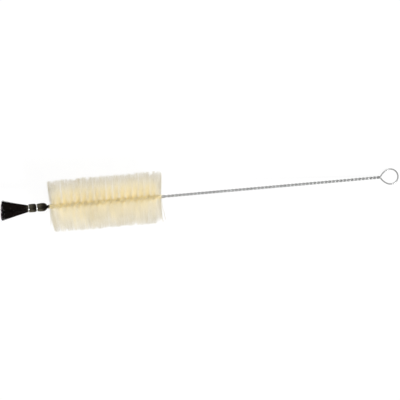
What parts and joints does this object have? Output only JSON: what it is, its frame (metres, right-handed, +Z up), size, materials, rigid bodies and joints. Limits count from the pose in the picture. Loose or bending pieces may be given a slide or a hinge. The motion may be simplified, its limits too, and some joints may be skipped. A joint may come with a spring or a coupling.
{
  "type": "bottle brush",
  "caption": "Bottle brush: twisted wire stem with a hanging ring, a cylindrical bristle fill and a black bristle tuft at the tip, for cleaning lab glassware.",
  "frame": {"origin": "middle of the brush's footprint on the surface that it lies on: halfway along its length, on that surface", "axes": "+X along the brush from the tuft to the hanging ring, +Y across it in the plane of the ring, +Z up; the stem slopes down by about 5 degrees towards the ring"},
  "size_m": [0.3988, 0.0507, 0.0559],
  "materials": {
    "galvanised_wire": "dull galvanised wire with brighter spangles",
    "pale_bristle": "natural ivory bristle, yellower towards the stem, matt with a faint sheen",
    "black_bristle": "black hair with a dull olive sheen where it is bound",
    "tie_wire": "bright tinned binding wire"
  },
  "bodies": {
    "root": {"stem_wire": "galvanised_wire", "bristle_fill": "pale_bristle", "tuft_bristles": "black_bristle", "tuft_tie_front": "tie_wire", "tuft_tie_rear": "tie_wire"}
  },
  "joints": []
}
